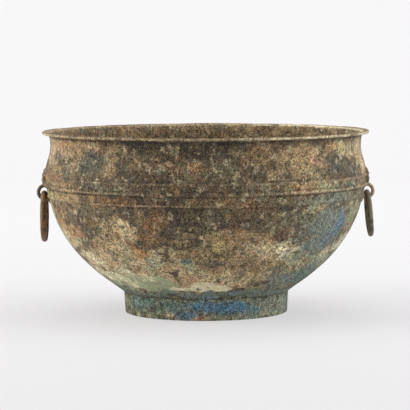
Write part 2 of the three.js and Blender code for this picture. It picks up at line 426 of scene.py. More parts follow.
def mask_plate(side):
    """The mask as a thin closed slab whose back is buried in the wall."""
    half = PLATE_HALF_WIDTH + 1.5
    across = np.arange(-half, half + PLATE_SPACING, PLATE_SPACING)
    heights = np.arange(PLATE_BOTTOM - 1.6, PLATE_TOP + 1.6, PLATE_SPACING)
    grid_across, grid_height = np.meshgrid(across, heights)
    relief = mask_relief(grid_across, grid_height)
    base = np.array([plate_base(z) for z in heights])[:, None]
    face_radius = base + relief
    back_radius = base - 0.6 * WALL - 0.8
    verts = []
    for radius in (face_radius, np.broadcast_to(back_radius, face_radius.shape)):
        angle = grid_across / base
        layer = np.stack([side * radius * np.cos(angle), side * radius * np.sin(angle), grid_height], axis=-1)
        verts.append(layer.reshape(-1, 3))
    verts = np.concatenate(verts)
    for i in range(face_radius.size):
        verts[i][0] += side * PLATE_CRUST * crust(*verts[i], CRUST_SEED)
    obj = mesh_object("mask_plate", verts, slab_faces(len(heights), len(across)))
    fix_normals(obj)
    apply_boolean(obj, ring_path(side), "DIFFERENCE")
    return obj


def ring_path(side):
    """The round space through the tongue that the ring hangs in."""
    cutter = bmesh.new()
    centre = (side * (wall_radius(LOOP_HEIGHT) + LOOP_STANDOFF), 0, LOOP_HEIGHT)
    place = Matrix.Translation(centre) @ Matrix.Rotation(math.pi / 2, 4, "X")
    bmesh.ops.create_cone(
        cutter, cap_ends=True, segments=48, radius1=LOOP_HOLE, radius2=LOOP_HOLE,
        depth=2 * (TONGUE_HALF_WIDTH + 2), matrix=Matrix.Scale(MM, 4) @ place,
    )
    return tool_object("ring_path", cutter)


def plate_base(height):
    """The plate's own ground: the wall's curve with the ribs bridged over."""
    rib = MID_RIB["crest"]
    knots = [(PLATE_BOTTOM - 2, wall_radius(PLATE_BOTTOM - 2)), (LOW_RIB["height"], LOW_RIB["crest"] - 0.3)]
    knots += [(CHIN_HEIGHT - 2, wall_radius(CHIN_HEIGHT - 2)), (MID_RIB["height"] + 1.5, rib)]
    knots += [(TOP_RIB["height"], rib - 0.2), (PLATE_TOP, wall_radius(PLATE_TOP))]
    return float(np.interp(height, [k[0] for k in knots], [k[1] for k in knots]))


def slab_faces(rows, columns):
    """Faces of a closed slab: a front grid, a back grid and a rim."""
    count = rows * columns
    faces = []
    for row in range(rows - 1):
        for c in range(columns - 1):
            a = row * columns + c
            quad = (a, a + 1, a + 1 + columns, a + columns)
            faces.append(quad)
            faces.append(tuple(i + count for i in reversed(quad)))
    border = list(range(columns))
    border += [row * columns + columns - 1 for row in range(1, rows)]
    border += [(rows - 1) * columns + c for c in range(columns - 2, -1, -1)]
    border += [row * columns for row in range(rows - 2, 0, -1)]
    for a, b in zip(border, border[1:] + border[:1]):
        faces.append((a, a + count, b + count, b))
    return faces


def fix_normals(obj):
    """Turns all faces of a closed mesh outwards."""
    bm = bmesh.new()
    bm.from_mesh(obj.data)
    bmesh.ops.recalc_face_normals(bm, faces=bm.faces)
    bm.to_mesh(obj.data)
    bm.free()


def torus(centre_radius, rod_radius, columns, rod_columns):
    """Points and faces of a ring in the XZ plane about the origin."""
    verts = []
    for i in range(columns):
        a = 2 * math.pi * i / columns
        for j in range(rod_columns):
            b = 2 * math.pi * j / rod_columns
            r = centre_radius + rod_radius * math.cos(b)
            verts.append((r * math.cos(a), rod_radius * math.sin(b), r * math.sin(a)))
    faces = []
    for i in range(columns):
        for j in range(rod_columns):
            k = (i + 1) % columns
            m = (j + 1) % rod_columns
            faces.append((i * rod_columns + j, i * rod_columns + m, k * rod_columns + m, k * rod_columns + j))
    return verts, faces


def loop_lug(side):
    """The cast loop that holds the ring, its inner part buried in the wall."""
    verts, faces = torus(LOOP_HOLE + LOOP_ROD / 2, LOOP_ROD / 2, LOOP_COLUMNS, ROD_COLUMNS)
    centre = wall_radius(LOOP_HEIGHT) + LOOP_STANDOFF
    placed = []
    for x, y, z in verts:
        swell = 0.12 * wobble(x, y, z, 4.0, 3.0 + side)
        out = 1 + swell / 8
        placed.append((side * (centre + x * out), y * LOOP_DEPTH / LOOP_ROD, LOOP_HEIGHT + z * out))
    obj = mesh_object("loop", placed, faces)
    trim_inside(obj)
    fix_normals(obj)
    return obj


def trim_inside(obj):
    """Cuts off what would reach through the wall into the bowl."""
    profile = [(max(r - WALL / 2, 0.0), z) for r, z in outside_profile() if z >= FOOT_HEIGHT]
    verts, faces = lathe(profile, CORE_COLUMNS, profile[0][1], profile[-1][1])
    core = mesh_object("core", verts, faces)
    fix_normals(core)
    apply_boolean(obj, core, "DIFFERENCE")


def remove_slivers(obj):
    """Collapses the tiny slivers that the joins leave, so that the mesh stays closed."""
    bm = bmesh.new()
    bm.from_mesh(obj.data)
    bmesh.ops.dissolve_degenerate(bm, dist=SLIVER * MM, edges=bm.edges)
    bm.to_mesh(obj.data)
    bm.free()


def bowl():
    profile = underside_profile() + outside_profile() + lip_profile() + inside_profile()
    verts, faces = lathe(profile, COLUMNS, FOOT_HEIGHT, FOOT_HEIGHT + FLOOR_THICKNESS)
    body = mesh_object("zeng_bowl", weathered(verts), faces)
    fix_normals(body)
    apply_boolean(body, slot_cutters(), "DIFFERENCE")
    for side in (-1, 1):
        apply_boolean(body, mask_plate(side), "UNION")
        apply_boolean(body, loop_lug(side), "UNION")
    remove_slivers(body)
    return body


# Ring handles

def ring_handle(name, node, joint, seed):
    """A closed ring on the solid's own place and size, its rod slightly uneven."""
    low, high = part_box(node)
    pivot = Vector(joint["pos_m"]) / MM
    centre = (Vector(low) + Vector(high)) / 2 / MM
    outer_radius = (high[1] - low[1]) / MM / 2
    centre_radius = (centre - pivot).length
    rod_radius = outer_radius - centre_radius
    verts, faces = torus(centre_radius, rod_radius, RING_COLUMNS, ROD_COLUMNS)
    lean = math.atan2(centre.x - pivot.x, pivot.z - centre.z)
    place = Matrix.Translation(centre) @ Matrix.Rotation(-lean, 4, "Y") @ Matrix.Rotation(math.pi / 2, 4, "Z")
    placed = []
    for x, y, z in verts:
        along = math.hypot(x, z)
        held = max(0.0, (z - 0.72 * centre_radius) / (0.28 * centre_radius))
        swell = 0.16 * wobble(x, y, z, 9.0, seed) + 0.07 * wobble(x, y, z, 3.0, seed + 4) - 0.1
        swell *= 1 - 0.7 * min(1.0, held)
        rod = Vector((x, y, z)) - Vector((x, 0, z)) * (centre_radius / along)
        placed.append(place @ (Vector((x, y, z)) + rod * (swell / rod_radius)))
    obj = mesh_object(name, placed, faces)
    fix_normals(obj)
    return obj


# Colours, as seen in plain daylight, 0 to 255

def colour(red, green, blue):
    """A linear colour from an everyday one."""
    parts = [v / 255 for v in (red, green, blue)]
    linear = [p / 12.92 if p <= 0.04045 else ((p + 0.055) / 1.055) ** 2.4 for p in parts]
    return (*linear, 1.0)


TINTS = {
    "tan": colour(164, 137, 99),
    "buff": colour(190, 170, 132),
    "olive": colour(100, 94, 71),
    "umber": colour(106, 86, 61),
    "umber_dark": colour(66, 57, 44),
    "slate": colour(80, 79, 67),
    "rust": colour(128, 91, 57),
    "orange": colour(172, 128, 80),
    "salmon": colour(178, 144, 112),
    "sage": colour(154, 161, 128),
    "cream": colour(222, 211, 172),
    "lime": colour(170, 158, 106),
    "teal": colour(92, 112, 102),
    "haze": colour(113, 122, 110),
    "azurite": colour(74, 117, 141),
    "purple": colour(92, 76, 66),
}
# Dark of pits, and of the painted shade lines in the hollows, above the foot and under the lip
PIT_AND_SHADE = colour(34, 30, 26)

# How strongly a patch breaks up into flecks, less for the colours that lie more evenly
USUAL_BREAK_UP = 3.4
EVEN_TINTS = {"azurite": 1.3, "haze": 1.9, "teal": 3.0}

# The grain's contrast is taken about a level just under black, and nothing gets darker than this
GREY_LIFT = (0.03, 0.03, 0.03)
DARKEST = (0.012, 0.011, 0.01)


# Patches of patina: colour name, azimuth from the front in degrees, height, half width and half
# height in millimetres, how closely it covers what is under it, and in some a tilt in degrees
FRONT_PATCHES = (
    # The first three rows and the wide buff row at 40 mm are pale patina and partly painted light, lifting
    # the lower belly as if lit from the floor
    ("tan", 0, 46, 190, 24, 0.7),
    ("buff", -40, 42, 90, 20, 0.6),
    ("buff", 46, 46, 80, 18, 0.5),
    ("tan", -66, 146, 40, 22, 0.85),
    ("buff", -74, 148, 26, 16, 0.75),
    ("salmon", -76, 150, 22, 9, 0.5),
    ("tan", -46, 152, 30, 9, 0.8),
    ("salmon", -44, 153, 8, 5, 0.6),
    ("orange", -60, 153, 26, 5, 0.45),
    ("slate", -64, 138, 16, 7, 0.75, -20),
    ("haze", -56, 133, 8, 5, 0.6),
    ("slate", -44, 140, 15, 14, 0.95),
    ("tan", -36, 137, 14, 7, 0.8, 70),
    ("salmon", -30, 151, 7, 2.5, 0.8, 85),
    ("orange", -25, 139, 10, 5, 0.3),
    ("orange", -12, 143, 18, 6, 0.35),
    ("rust", -9, 134, 12, 6, 0.4),
    # Dark patina here, and also painted shade under the lip in the middle of the front
    ("umber_dark", -11, 151, 62, 9, 0.9),
    ("umber_dark", -20, 128, 44, 10, 0.7),
    ("umber_dark", -16, 112, 44, 9, 0.7),
    ("umber", -40, 128, 26, 10, 0.5),
    ("olive", 0, 133, 44, 18, 0.6),
    ("slate", 4, 130, 26, 14, 0.25),
    ("orange", -2, 137, 7, 5, 0.5),
    ("tan", 18, 147, 26, 11, 0.5),
    ("rust", 17, 148, 8, 8, 0.35),
    ("tan", 26, 133, 11, 4.5, 0.8),
    ("tan", 36, 130, 9, 5, 0.7, -75),
    ("tan", 36, 142, 30, 17, 0.75),
    ("salmon", 42, 144, 9, 8, 0.75),
    ("slate", 47, 150, 6, 7, 0.5),
    ("orange", 51, 149, 9, 5, 0.6),
    ("buff", 60, 149, 26, 9, 0.8),
    ("lime", 60, 146, 12, 5, 0.5),
    ("slate", 52, 133, 14, 10, 0.98),
    ("slate", 62, 132, 13, 9, 0.98),
    ("purple", 63, 133, 9, 7, 0.3),
    ("rust", 57, 124, 14, 3.5, 0.45),
    ("buff", 76, 140, 22, 22, 0.8),
    ("buff", 90, 107, 13, 9, 0.8),
    ("olive", -90, 107, 13, 9, 0.9),
    ("rust", -66, 121, 36, 6, 0.6),
    ("tan", -64, 118, 44, 10, 0.6),
    ("orange", -76, 120, 10, 5, 0.9),
    ("olive", -38, 119, 28, 5, 0.7),
    ("haze", -40, 119, 20, 3.5, 0.35),
    ("tan", 40, 119, 30, 8, 0.75),
    ("tan", 42, 99, 26, 6, 0.6),
    ("orange", 32, 120, 7, 4, 0.6),
    ("sage", 54, 118, 34, 5, 0.5),
    ("tan", -60, 107, 30, 10, 0.7),
    ("orange", -37, 109, 22, 4.5, 0.5),
    ("rust", -32, 108, 30, 6, 0.5),
    ("umber", -14, 108, 34, 5, 0.6),
    ("lime", -70, 106, 20, 6, 0.6),
    ("rust", 15, 103, 5, 11, 0.65),
    ("olive", 26, 107, 26, 6, 0.6),
    ("haze", 52, 107, 44, 7, 0.6),
    ("sage", 52, 106, 34, 5, 0.35),
    ("haze", 72, 106, 12, 6, 0.5),
    ("lime", -80, 92, 16, 17, 1.0),
    ("lime", -76, 76, 14, 9, 0.85),
    ("orange", -70, 83, 16, 5, 0.8, -10),
    ("orange", -60, 77, 22, 7, 0.5),
    ("slate", -56, 94, 22, 10, 0.45),
    ("tan", -64, 94, 24, 9, 0.5),
    ("purple", -67, 95, 5, 2.5, 0.7, 10),
    ("olive", -45, 96, 26, 10, 0.5),
    ("rust", -47, 89, 10, 4, 0.6),
    ("orange", -40, 102, 14, 2.5, 0.5),
    ("slate", -50, 79, 7, 7, 0.8),
    ("buff", -32, 83, 15, 11, 0.85, 20),
    ("tan", -32, 82, 22, 15, 0.6, 20),
    ("rust", -22, 80, 16, 15, 0.65),
    ("rust", -20, 94, 18, 12, 0.65),
    ("slate", -29, 99, 10, 5, 0.7),
    ("umber_dark", -8, 92, 26, 16, 0.7),
    ("olive", -6, 88, 22, 12, 0.45),
    ("tan", -40, 66, 30, 12, 0.8),
    ("buff", -70, 68, 30, 10, 0.8),
    ("tan", -62, 74, 30, 12, 0.7),
    ("buff", -38, 64, 26, 10, 0.6),
    ("rust", -31, 70, 6, 6, 0.7),
    ("sage", -58, 69, 14, 4, 0.6),
    ("purple", -54, 66, 14, 2.5, 0.5, 20),
    ("cream", -74, 72, 16, 6, 0.7, 20),
    ("sage", -70, 62, 16, 6, 0.4),
    ("orange", -27, 63, 10, 6, 1.0),
    ("umber_dark", -19, 70, 12, 5, 0.55),
    ("buff", -16, 64, 14, 5, 0.45),
    ("tan", -12, 72, 20, 8, 0.4),
    ("umber_dark", 12, 92, 30, 12, 0.55),
    ("slate", 6, 90, 10, 8, 0.5),
    ("slate", 20, 88, 12, 8, 0.3),
    ("orange", 10, 90, 5, 6, 0.5),
    ("olive", 24, 92, 30, 14, 0.5),
    ("sage", 34, 98, 8, 8, 0.4),
    ("sage", 41, 100, 8, 5, 0.5),
    ("tan", 14, 74, 44, 12, 0.65),
    ("lime", 5, 69, 10, 6, 0.7),
    ("buff", 24, 67, 30, 9, 0.8),
    ("buff", 24, 52, 40, 8, 0.45),
    ("salmon", 23, 72, 7, 3, 0.6),
    ("cream", 34, 66, 16, 9, 0.75),
    ("lime", 36, 70, 7, 4, 0.8),
    ("teal", 20, 67, 3, 4, 0.6),
    ("haze", 52, 84, 34, 16, 0.85),
    ("teal", 51, 88, 12, 9, 0.6),
    ("azurite", 60, 84, 14, 12, 0.65),
    ("azurite", 54, 72, 14, 8, 0.45, -40),
    ("haze", 66, 62, 40, 34, 0.5),
    ("haze", 42, 74, 24, 26, 0.45),
    ("haze", 50, 68, 26, 10, 0.9, -10),
    ("slate", 52, 70, 20, 7, 0.6, -20),
    ("azurite", 42, 66, 4.5, 3.5, 0.6),
    ("sage", 70, 92, 24, 12, 0.6),
    ("tan", 72, 78, 20, 8, 0.7),
    ("cream", 72, 64, 26, 7, 0.8),
    ("cream", -60, 52, 26, 7, 0.7),
    ("buff", -50, 52, 50, 11, 0.9),
    ("salmon", -48, 53, 16, 5, 0.6),
    ("umber_dark", -39, 56, 14, 9, 0.3),
    ("buff", -20, 51, 34, 11, 0.8),
    # Pale patina, and partly painted light lifting the lower belly
    ("buff", -8, 40, 90, 10, 0.95),
    ("buff", -36, 56, 56, 13, 0.75),
    ("purple", -40, 60, 8, 4, 0.4, 20),
    ("rust", -47, 48, 10, 2.5, 0.6),
    ("sage", -40, 46, 16, 3, 0.6),
    ("sage", -23, 50, 13, 9, 0.65, 60),
    ("sage", -54, 34, 40, 9, 0.95),
    ("cream", -56, 38, 44, 7, 0.85, -4),
    ("cream", -38, 44, 24, 4, 0.5, -6),
    ("cream", -30, 37, 16, 2, 0.6, -10),
    ("tan", -20, 47, 12, 5, 0.6),
    ("purple", -17, 56, 8, 3, 0.8),
    ("orange", -18, 50, 6, 3, 0.5),
    ("purple", -15, 44, 7, 3.5, 0.85),
    ("teal", -8, 57, 6, 4, 0.8),
    ("sage", -7, 52, 8, 5, 0.7),
    ("rust", -6, 65, 8, 4, 0.5),
    ("salmon", -8, 41, 18, 5, 0.7),
    ("buff", -6, 45, 20, 5, 0.7),
    ("purple", -2, 43, 7, 2.5, 0.75, 10),
    ("slate", 4, 55, 16, 6, 0.7),
    ("purple", 4, 54, 16, 6, 0.35),
    ("orange", 12, 57, 8, 3, 0.6),
    ("olive", 18, 54, 14, 9, 0.6),
    ("rust", 23, 52, 5, 5, 0.6),
    ("salmon", 22, 58, 6, 5, 0.4),
    ("purple", 6, 36, 5, 2.5, 0.9),
    ("salmon", 7, 33, 4, 2, 0.6),
    ("umber_dark", 16, 42, 10, 6, 0.6),
    ("sage", 31, 43, 9, 4, 0.7),
    ("salmon", 40, 48, 12, 4, 0.5),
    ("slate", 36, 44, 14, 5, 0.6, -12),
    ("buff", 19, 33, 8, 3, 0.8),
    ("purple", 32, 35, 9, 3, 0.7),
    ("rust", 39, 35, 10, 3.5, 0.6),
    ("haze", 50, 58, 16, 8, 0.6, -20),
    ("sage", 47, 38, 14, 3, 0.6),
    ("teal", 60, 38, 36, 9, 0.98, -8),
    ("haze", 42, 36, 34, 9, 0.8),
    ("sage", 44, 54, 34, 13, 0.55),
    ("sage", 62, 50, 30, 8, 0.6),
    ("cream", 57, 45, 10, 2.5, 0.7),
    ("cream", 62, 56, 14, 9, 0.8),
    ("salmon", 51, 41, 5, 1.5, 0.8),
    ("umber_dark", -40, 22, 40, 5, 0.5),
    ("haze", 12, 22.5, 190, 4, 0.95),
    ("haze", -66, 24, 40, 5, 0.7),
    ("azurite", 0, 22, 16, 4, 0.5),
    ("azurite", 17, 24, 12, 3, 0.45),
    ("teal", 31, 25, 14, 3.5, 0.6),
    ("haze", 46, 26, 26, 4, 0.7),
)

# Level lines at the ribs, above the foot and at the lip. The dark ones are painted shade in the hollows
# beside the ribs, in the crease above the foot and under the lip, partly dirt there too; the pale ones are
# painted highlights on the rib crests and the lip's top, partly rubbed wear too. Columns: colour, height,
# half height, cover, and the sideways place that a line is centred on and how far it runs to each side,
# in millimetres
ALL_ROUND = 900
RIB_LINES = (
    # Rib rows: the dark ones are painted shade in the hollows, partly dirt, and the pale ones painted
    # highlights on the crests, partly rubbed wear
    (PIT_AND_SHADE, TOP_RIB["height"] + 1.7, 1.1, 0.35, 0, ALL_ROUND),
    (TINTS["buff"], TOP_RIB["height"] - 0.4, 1.3, 0.35, 90, 90),
    (TINTS["buff"], TOP_RIB["height"] - 0.2, 1.2, 0.15, -60, 80),
    (PIT_AND_SHADE, MID_RIB["height"] + 2.8, 1.2, 0.45, 0, ALL_ROUND),
    (TINTS["buff"], MID_RIB["height"] + 0.3, 1.0, 0.5, 105, 100),
    (TINTS["buff"], MID_RIB["height"] + 0.3, 1.0, 0.3, -85, 70),
    (PIT_AND_SHADE, MID_RIB["height"] - 1.8, 1.1, 0.5, 0, ALL_ROUND),
    (TINTS["buff"], LOW_RIB["height"] + 0.6, 0.9, 0.3, -25, 90),
    (PIT_AND_SHADE, LOW_RIB["height"] - 1.5, 1.1, 0.5, 0, 110),
    # Painted shade in the crease above the foot, partly dirt
    (PIT_AND_SHADE, FOOT_HEIGHT + 1.2, 1.6, 0.45, 0, ALL_ROUND),
    # Painted shadow under the lip, partly dirt, deepest at the middle of the front
    (PIT_AND_SHADE, OVERALL_HEIGHT - 4.3, 1.6, 0.55, 0, ALL_ROUND),
    (PIT_AND_SHADE, OVERALL_HEIGHT - 5.1, 3.0, 0.5, -10, 110),
    # Painted highlight along the lip's top, partly rubbed wear, stronger on the right
    (TINTS["buff"], OVERALL_HEIGHT - 1.5, 1.6, 0.45, 0, ALL_ROUND),
    (TINTS["cream"], OVERALL_HEIGHT - 1.5, 1.6, 0.6, 110, 90),
)

# Patches with a clear edge, where a crust has flaked off down to a smooth mineral skin
FIRM_PATCHES = (
    ("sage", -32, 33, 42, 7.5, 0.96, -6),
    ("sage", -20, 34, 15, 6, 1.0, -20),
    ("cream", -2, 31.8, 18, 5.2, 1.0),
    ("cream", -13, 29.4, 20, 1.6, 1.0, 2),
    ("cream", 8, 29.8, 17, 3.2, 0.95),
    ("umber", -14, 40, 4, 10, 0.8, 22),
)

# Patches on the ring foot, in the same columns
FOOT_PATCHES = (
    ("sage", 0, 10, 140, 22, 0.35),
    ("teal", -50, 14, 26, 9, 0.7),
    ("teal", -26, 11, 14, 7, 0.7),
    ("salmon", -25, 5, 5, 4, 0.95),
    ("azurite", -4, 14, 22, 5, 0.65),
    ("azurite", 14, 11, 26, 6, 0.85),
    ("azurite", -14, 5, 14, 5, 0.55),
    ("azurite", 34, 9, 12, 5, 0.5),
    ("haze", 30, 9, 60, 12, 0.6),
    ("haze", 64, 10, 30, 12, 0.6),
    ("orange", -5, 2, 9, 3, 0.85),
    ("orange", 15, 2, 7, 3, 0.75),
    ("salmon", 44, 5, 6, 4, 0.8),
    ("rust", 42, 13, 12, 4, 0.6),
    ("sage", 62, 9, 24, 11, 0.6),
    ("olive", -66, 8, 20, 10, 0.6),
    ("purple", 55, 8, 6, 4, 0.6),
)

# The unseen side: colour, lowest and highest height, and how many, all drawn from one seed
BACK_SEED = 12
BACK_PATCHES = (
    ("tan", 34, 70, 7),
    ("buff", 32, 68, 9),
    ("tan", 80, 152, 9),
    ("olive", 75, 152, 7),
    ("umber_dark", 80, 154, 8),
    ("rust", 60, 150, 7),
    ("slate", 70, 150, 5),
    ("orange", 55, 150, 4),
    ("sage", 28, 60, 4),
    ("cream", 32, 66, 4),
    ("haze", 40, 100, 4),
    ("teal", 28, 56, 2),
)

# Arc length of a degree on the belly and on the foot, the height where the foot's patches end,
# and the heights between which the foot's own skin gives way to the belly's
MM_PER_DEGREE = 2.4
FOOT_MM_PER_DEGREE = 1.27
FOOT_PATCH_TOP = 19.0
FOOT_BLEND = (29.5, 24.0)

# Where a patch fades out and where it is full, as shares of its half size
SOFT = (1.4, 0.4)
FIRM = (1.15, 0.85)


# Materials

class Patina:
    """Adds shader nodes to one material with short calls that return sockets."""

    def __init__(self, name):
        self.material = bpy.data.materials.new(name)
        self.material.use_nodes = True
        self.tree = self.material.node_tree
        self.shader = self.tree.nodes["Principled BSDF"]
        coords = self.tree.nodes.new("ShaderNodeTexCoord")
        self.place = self.vector("SCALE", coords.outputs["Object"], scale=1 / MM)
        split = self.tree.nodes.new("ShaderNodeSeparateXYZ")
        self.tree.links.new(self.place, split.inputs[0])
        self.x, self.y, self.height = split.outputs

    def put(self, value, socket):
        """Links or sets a socket, whichever the value asks for."""
        if isinstance(value, bpy.types.NodeSocket):
            self.tree.links.new(value, socket)
        else:
            socket.default_value = value

    def math(self, operation, a, b=0.0, c=0.0):
        node = self.tree.nodes.new("ShaderNodeMath")
        node.operation = operation
        for value, socket in zip((a, b, c), node.inputs):
            self.put(value, socket)
        return node.outputs[0]

    def vector(self, operation, a, b=(0, 0, 0), scale=1.0):
        node = self.tree.nodes.new("ShaderNodeVectorMath")
        node.operation = operation
        self.put(a, node.inputs[0])
        self.put(b, node.inputs[1])
        self.put(scale, node.inputs[3])
        return node.outputs[1 if operation == "LENGTH" else 0]

    def texture(self, node, size, seed):
        """Gives a texture node the surface's place, a scale in millimetres and a seed."""
        self.put(self.place, node.inputs["Vector"])
        node.inputs["W"].default_value = seed
        node.inputs["Scale"].default_value = 1 / size
        return node

    def noise(self, size, detail, rough, seed, output="Fac"):
        """Smooth noise whose features are about size millimetres across."""
        node = self.tree.nodes.new("ShaderNodeTexNoise")
        node.noise_dimensions = "4D"
        node.inputs["Detail"].default_value = detail
        node.inputs["Roughness"].default_value = rough
        return self.texture(node, size, seed).outputs[output]

    def cells(self, size, seed):
        """Distance to the nearest of scattered points about size millimetres apart."""
        node = self.tree.nodes.new("ShaderNodeTexVoronoi")
        node.voronoi_dimensions = "4D"
        return self.texture(node, size, seed).outputs["Distance"]

    def step(self, value, low, high):
        """0 below low, 1 above high, smooth between."""
        node = self.tree.nodes.new("ShaderNodeMapRange")
        node.interpolation_type = "SMOOTHSTEP"
        self.put(value, node.inputs["Value"])
        ends = (low, high, 0.0, 1.0) if low < high else (high, low, 1.0, 0.0)
        for name, end in zip(("From Min", "From Max", "To Min", "To Max"), ends):
            node.inputs[name].default_value = end
        return node.outputs["Result"]

    def within(self, value, centre, reach, full):
        """1 about centre, out to the share full of reach, and 0 from reach on."""
        offset = self.math("ABSOLUTE", self.math("SUBTRACT", value, centre))
        return self.step(offset, reach, full * reach)

    def swayed(self, base, noise, amount):
        """base moved up and down by a noise about its middle."""
        return self.math("MULTIPLY_ADD", self.math("SUBTRACT", noise, 0.5), amount, base)

    def mix(self, under, over, share, mode="MIX"):
        """One colour laid over another."""
        node = self.tree.nodes.new("ShaderNodeMix")
        node.data_type = "RGBA"
        node.blend_type = mode
        self.put(share, node.inputs[0])
        self.put(under, node.inputs[6])
        self.put(over, node.inputs[7])
        return node.outputs[2]

    def times(self, *values):
        product = values[0]
        for value in values[1:]:
            product = self.math("MULTIPLY", product, value)
        return product

    def ragged(self, mask, grain, break_up):
        """Breaks a soft mask up into flecks, sparser towards its edge."""
        return self.step(self.swayed(mask, grain, break_up), 0.12, 0.98)

    def attribute(self, name):
        """A value kept for each point of the mesh."""
        node = self.tree.nodes.new("ShaderNodeAttribute")
        node.attribute_name = name
        return node.outputs["Fac"]

    def bump(self, height, distance):
        """Fine relief in the shading only, distance in millimetres."""
        node = self.tree.nodes.new("ShaderNodeBump")
        node.inputs["Distance"].default_value = distance * MM
        self.put(height, node.inputs["Height"])
        self.put(node.outputs["Normal"], self.shader.inputs["Normal"])


class BowlPatina(Patina):
    """Buried bronze: brown and grey mottling, mineral patches, pits and pale grains."""

    def __init__(self):
        super().__init__("patinated_bronze")
        self.mottle = self.noise(15, 3, 0.55, 2.0)
        self.mottle_too = self.noise(12, 3, 0.55, 3.0)
        self.flecks = self.noise(6.5, 2, 0.55, 4.0)
        self.grain = self.noise(0.95, 2, 0.8, 7.0)
        self.blotch = self.swayed(self.mottle, self.flecks, 0.8)
        self.blotch_too = self.swayed(self.mottle_too, self.noise(5.5, 2, 0.55, 5.0), 0.8)
        self.inside = self.attribute("inside")
        foot = self.step(self.swayed(self.attribute("foot"), self.blotch, 1.4), 0.35, 0.65)
        skin = self.mix(self.outer_skin(), self.foot_skin(), foot)
        skin = self.mix(skin, self.inner_skin(), self.inside)
        self.finish(self.rib_lines(self.patches(skin)))

    def layered(self, skin, *layers):
        """Lays colours over skin, each where its mottling rises from low to high."""
        for tint, mottling, low, high, cover in layers:
            skin = self.mix(skin, TINTS[tint], self.times(self.step(mottling, low, high), cover))
        return skin

    def outer_skin(self):
        return self.layered(
            self.mix(TINTS["umber"], TINTS["olive"], self.step(self.noise(40, 5, 0.6, 1.0), 0.42, 0.58)),
            ("umber_dark", self.blotch_too, 0.44, 0.62, 0.7),
            ("rust", self.blotch, 0.52, 0.66, 0.4),
            ("tan", self.blotch, 0.60, 0.78, 0.45),
            ("slate", self.blotch_too, 0.60, 0.74, 0.35),
        )

    def foot_skin(self):
        return self.layered(
            self.mix(TINTS["slate"], TINTS["umber_dark"], self.step(self.blotch, 0.45, 0.62)),
            ("sage", self.blotch_too, 0.5, 0.66, 0.5),
        )

    def inner_skin(self):
        """Plainer browns, darker towards the floor."""
        return self.layered(
            TINTS["umber"],
            ("tan", self.blotch, 0.42, 0.7, 0.55),
            ("olive", self.blotch_too, 0.5, 0.66, 0.7),
            ("umber_dark", self.height, 70.0, 24.0, 0.5),
        )

    def patches(self, skin):
        """Lays on each colour where paint() has kept it, in ragged flecks."""
        dapples = [
            self.math("MULTIPLY_ADD", broad, 0.3, self.times(self.noise(6.0, 2, 0.6, seed), 0.7))
            for broad, seed in ((self.mottle, 31.0), (self.mottle_too, 32.0), (self.flecks, 33.0))
        ]
        for index, tint in enumerate(TINTS):
            break_up = EVEN_TINTS.get(tint, USUAL_BREAK_UP)
            mask = self.ragged(self.attribute("patch_" + tint), dapples[index % 3], break_up)
            skin = self.mix(skin, TINTS[tint], mask)
        return skin

    def rib_lines(self, skin):
        """Painted shade in the hollows, above the foot and under the lip, partly dirt, and painted highlights
        on the crests and the lip, partly rubbed wear, on the outside, broken up here and there.
        """
        outside = self.math("SUBTRACT", 1.0, self.inside)
        broken_up = self.times(outside, self.step(self.mottle_too, 0.30, 0.52))
        for tint, height, half, cover, centre, reach in RIB_LINES:
            level = self.within(self.height, height, half, 0.25)
            along = self.within(self.x, centre, reach, 0.4)
            skin = self.mix(skin, tint, self.times(level, along, broken_up, cover))
        return skin

    def finish(self, skin):
        """Dark veins, pits and grain, calmer on the smooth patches, and the fine relief."""
        skin = self.mix(skin, self.noise(7.0, 1, 0.5, 8.0, "Color"), 0.16, "OVERLAY")
        rough = self.math("MULTIPLY_ADD", self.attribute("calm"), -0.7, 1.0)
        veins = self.within(self.noise(4.5, 3, 0.6, 9.0), 0.5, 0.045, 0.0)
        veins = self.times(veins, self.step(self.mottle_too, 0.44, 0.58), rough, 0.6)
        skin = self.mix(skin, TINTS["umber_dark"], veins)
        pits = self.times(self.step(self.cells(3.0, 9.0), 0.42, 0.12), self.step(self.mottle_too, 0.42, 0.56))
        skin = self.mix(skin, PIT_AND_SHADE, self.times(pits, 0.5))
        fine = self.math("MULTIPLY_ADD", self.grain, 0.75, self.times(self.noise(2.4, 2, 0.7, 6.0), 0.25))
        gain = self.math("MAXIMUM", self.swayed(1.03, fine, self.times(rough, 8.4)), 0.15)
        lifted = self.vector("SCALE", self.vector("ADD", skin, GREY_LIFT), scale=gain)
        skin = self.vector("MAXIMUM", self.vector("SUBTRACT", lifted, GREY_LIFT), DARKEST)
        self.put(skin, self.shader.inputs["Base Color"])
        self.put(self.math("MULTIPLY_ADD", self.flecks, 0.3, 0.6), self.shader.inputs["Roughness"])
        self.shader.inputs["Specular IOR Level"].default_value = 0.3
        relief = self.math("MULTIPLY_ADD", self.grain, 0.8, self.flecks)
        self.bump(self.math("MULTIPLY_ADD", pits, -0.5, relief), 1.2)


# Middle, deep and pale tone of each ring
WARM_RING = (colour(124, 95, 66), colour(78, 58, 40), colour(162, 130, 94))
OLIVE_RING = (colour(115, 106, 86), colour(70, 65, 54), colour(158, 146, 118))


